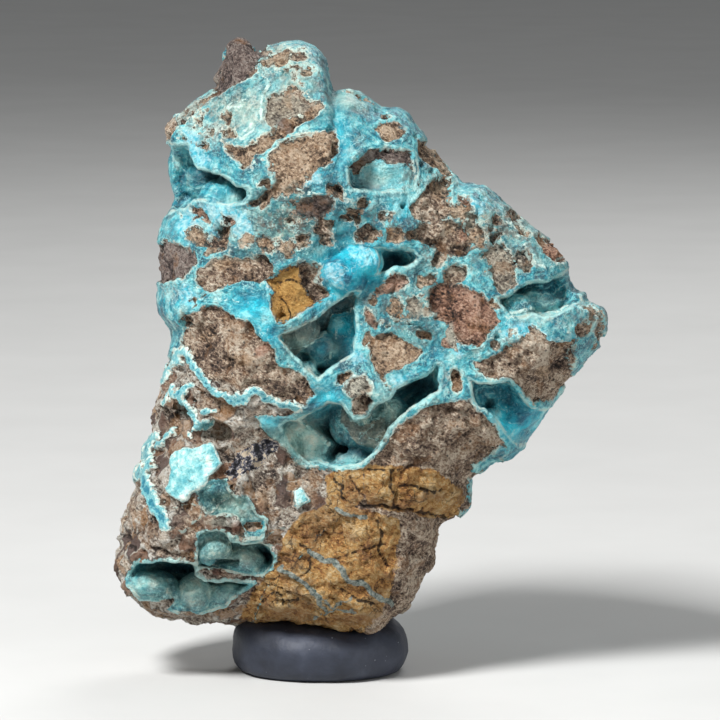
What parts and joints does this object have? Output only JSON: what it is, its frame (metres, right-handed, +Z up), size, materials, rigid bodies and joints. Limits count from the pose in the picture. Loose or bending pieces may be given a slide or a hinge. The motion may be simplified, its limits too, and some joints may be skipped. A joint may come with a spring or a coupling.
{
  "type": "raw smithsonite specimen on display putty",
  "caption": "Standing lump of raw blue smithsonite crust with brown rock fragments and open caves, held upright in a soft dark putty foot.",
  "frame": {"origin": "under the middle of the whole object, on the surface that its putty foot stands on", "axes": "+Z up, +X to the viewer's right, -Y towards the viewer of the stone's front"},
  "size_m": [0.0979, 0.049, 0.1274],
  "materials": {
    "smithsonite": "waxy blue crust around rough brown rock",
    "putty": "soft, dull sheen"
  },
  "bodies": {
    "root": {"smithsonite": "smithsonite", "putty_foot": "putty"}
  },
  "joints": []
}
